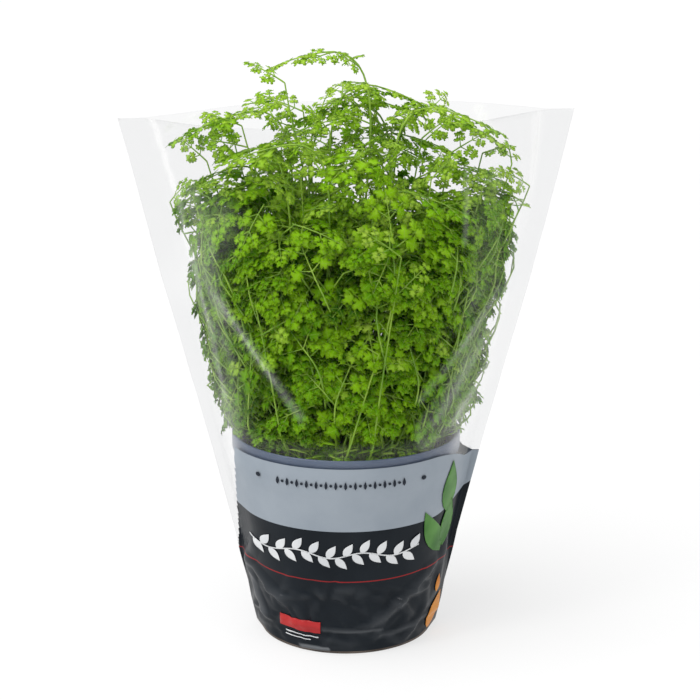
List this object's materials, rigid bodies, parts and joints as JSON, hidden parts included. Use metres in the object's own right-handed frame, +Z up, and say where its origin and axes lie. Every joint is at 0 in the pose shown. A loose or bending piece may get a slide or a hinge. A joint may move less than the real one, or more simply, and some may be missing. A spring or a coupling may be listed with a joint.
{
  "type": "potted chervil in a film sleeve",
  "caption": "Fern-leaved herb growing densely in a round plastic pot, standing in a flared clear film sleeve with a printed foot.",
  "frame": {"origin": "on the pot's axis, on the surface that the sleeve's flat foot stands on", "axes": "+Z up along the pot's axis, the printed front faces -Y, and the sleeve's two side creases lie at +X and -X"},
  "size_m": [0.23, 0.14, 0.3046],
  "materials": {
    "pot": "thin blue-grey moulded plastic with a soft sheen",
    "soil": "damp dark peat compost, rough and crumbly",
    "film": "glossy clear film, printed silver-grey and charcoal round the pot",
    "leaf": "thin soft fresh green leaf with a light sheen"
  },
  "bodies": {
    "root": {"pot": "pot", "soil": "soil", "sleeve": "film", "chervil_plant_01": "leaf", "chervil_plant_02": "leaf", "chervil_plant_03": "leaf", "chervil_plant_04": "leaf", "chervil_plant_05": "leaf", "chervil_plant_06": "leaf", "chervil_plant_07": "leaf", "chervil_plant_08": "leaf", "chervil_plant_09": "leaf", "chervil_plant_10": "leaf", "chervil_plant_11": "leaf", "chervil_plant_12": "leaf", "chervil_plant_13": "leaf", "chervil_plant_14": "leaf", "chervil_plant_15": "leaf", "chervil_plant_16": "leaf", "chervil_plant_17": "leaf", "chervil_plant_18": "leaf", "chervil_plant_19": "leaf", "chervil_plant_20": "leaf", "chervil_plant_21": "leaf", "chervil_plant_22": "leaf", "chervil_plant_23": "leaf", "chervil_plant_24": "leaf", "chervil_plant_25": "leaf", "chervil_plant_26": "leaf", "chervil_plant_27": "leaf", "chervil_plant_28": "leaf"}
  },
  "joints": []
}
